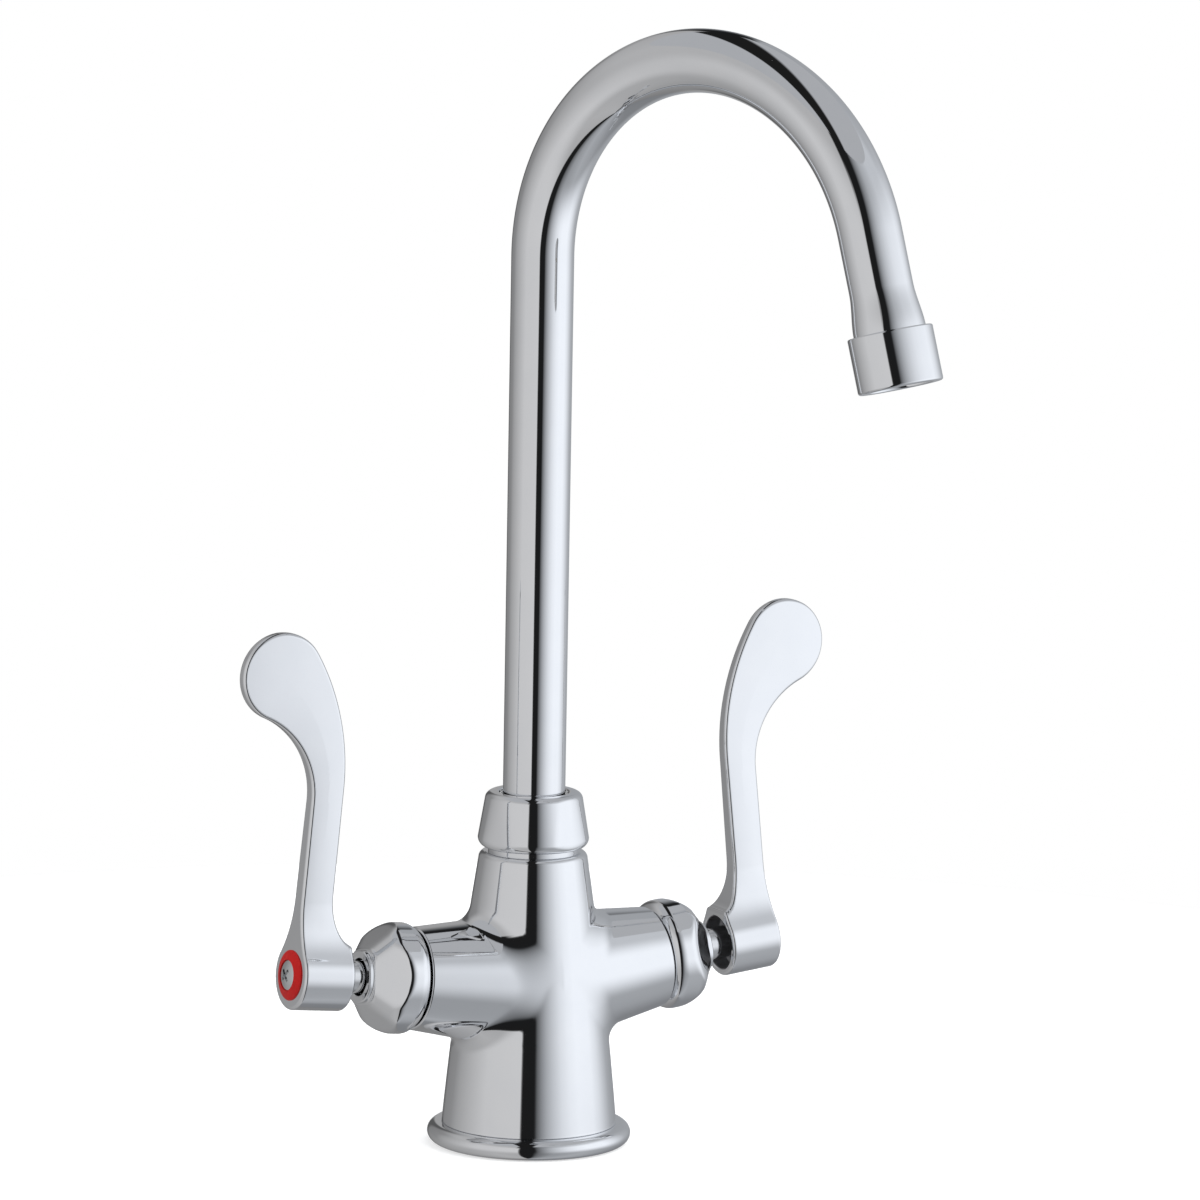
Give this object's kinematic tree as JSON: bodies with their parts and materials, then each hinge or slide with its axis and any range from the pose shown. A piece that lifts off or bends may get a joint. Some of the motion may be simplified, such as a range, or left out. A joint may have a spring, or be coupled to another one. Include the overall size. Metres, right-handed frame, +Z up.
{
  "type": "laboratory gooseneck tap",
  "caption": "Deck-mounted chrome mixing tap with a swinging gooseneck spout, an aerator and upright wristblade handles on quarter-turn valves.",
  "frame": {"origin": "middle of the underside, on the deck", "axes": "+Z up, -Y to the front, +X towards the cold handle"},
  "size_m": [0.1994, 0.1706, 0.3463],
  "materials": {
    "chrome": "polished chrome plate on brass",
    "brass": "turned brass",
    "steel": "bright stainless steel",
    "rubber": "black sealing rubber",
    "ceramic": "lapped ceramic",
    "white_plastic": "moulded white plastic",
    "red_plastic": "glossy red plastic",
    "blue_plastic": "glossy blue plastic"
  },
  "bodies": {
    "tap_body": {"body_casting": "chrome", "base_ring": "chrome", "deck_seal": "rubber", "spout_nut": "chrome", "spout_bushing": "white_plastic", "hot_bonnet": "chrome", "cold_bonnet": "chrome", "hot_cartridge_body": "brass", "cold_cartridge_body": "brass", "hot_cartridge_o_ring": "rubber", "cold_cartridge_o_ring": "rubber", "hot_fixed_disc": "ceramic", "cold_fixed_disc": "ceramic", "hot_seat_seal": "rubber", "cold_seat_seal": "rubber"},
    "spout": {"gooseneck_tube": "chrome", "spout_collar": "brass", "spout_o_rings": "rubber", "outlet_bush": "brass", "aerator_housing": "chrome", "aerator_gasket": "rubber", "aerator_insert": "white_plastic", "aerator_screen": "steel"},
    "hot_lever": {"hot_handle": "chrome", "hot_index_ring": "red_plastic", "hot_handle_screw": "steel", "hot_spindle": "steel", "hot_spindle_clip": "steel", "hot_spindle_o_rings": "rubber", "hot_moving_disc": "ceramic"},
    "cold_lever": {"cold_handle": "chrome", "cold_index_ring": "blue_plastic", "cold_handle_screw": "steel", "cold_spindle": "steel", "cold_spindle_clip": "steel", "cold_spindle_o_rings": "rubber", "cold_moving_disc": "ceramic"}
  },
  "joints": [
    {"name": "spout_swivel", "type": "hinge", "parent": "tap_body", "child": "spout", "pos_m": [0, 0, 0.1], "axis": [0, 0, 1], "continuous": true},
    {"name": "hot_handle_turn", "type": "hinge", "parent": "tap_body", "child": "hot_lever", "pos_m": [0, 0, 0.0497], "axis": [0.9945, 0, -0.1045], "range_deg": [0, 90]},
    {"name": "cold_handle_turn", "type": "hinge", "parent": "tap_body", "child": "cold_lever", "pos_m": [0, 0, 0.0497], "axis": [0.9945, 0, 0.1045], "range_deg": [0, 90]}
  ]
}
